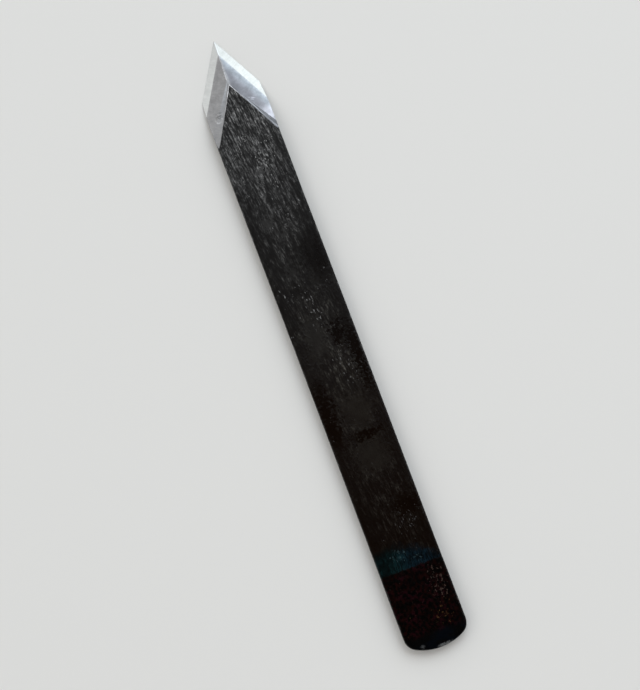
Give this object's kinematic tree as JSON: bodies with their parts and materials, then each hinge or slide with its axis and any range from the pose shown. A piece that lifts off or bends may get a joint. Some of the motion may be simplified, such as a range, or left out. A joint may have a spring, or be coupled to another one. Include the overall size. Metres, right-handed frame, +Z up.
{
  "type": "marking knife",
  "caption": "Flat steel bar knife with a spear point: twin ground bevels over a flat, hollow-ground back, soft iron welded to hard steel, crowned tail.",
  "frame": {"origin": "the middle of the overall box, on the flat back that the knife lies on", "axes": "+Y along the knife to its tip, +X to its right seen from above, +Z up out of the black top face"},
  "size_m": [0.0182, 0.18, 0.003],
  "materials": {
    "scaled_iron": "black forge scale with a satin sheen, bare and freshly ground on the bevels",
    "hard_steel": "fine ground along the edges and on the back near the point, black forge scale behind"
  },
  "bodies": {
    "root": {"soft_iron_body": "scaled_iron", "edge_steel": "hard_steel"}
  },
  "joints": []
}
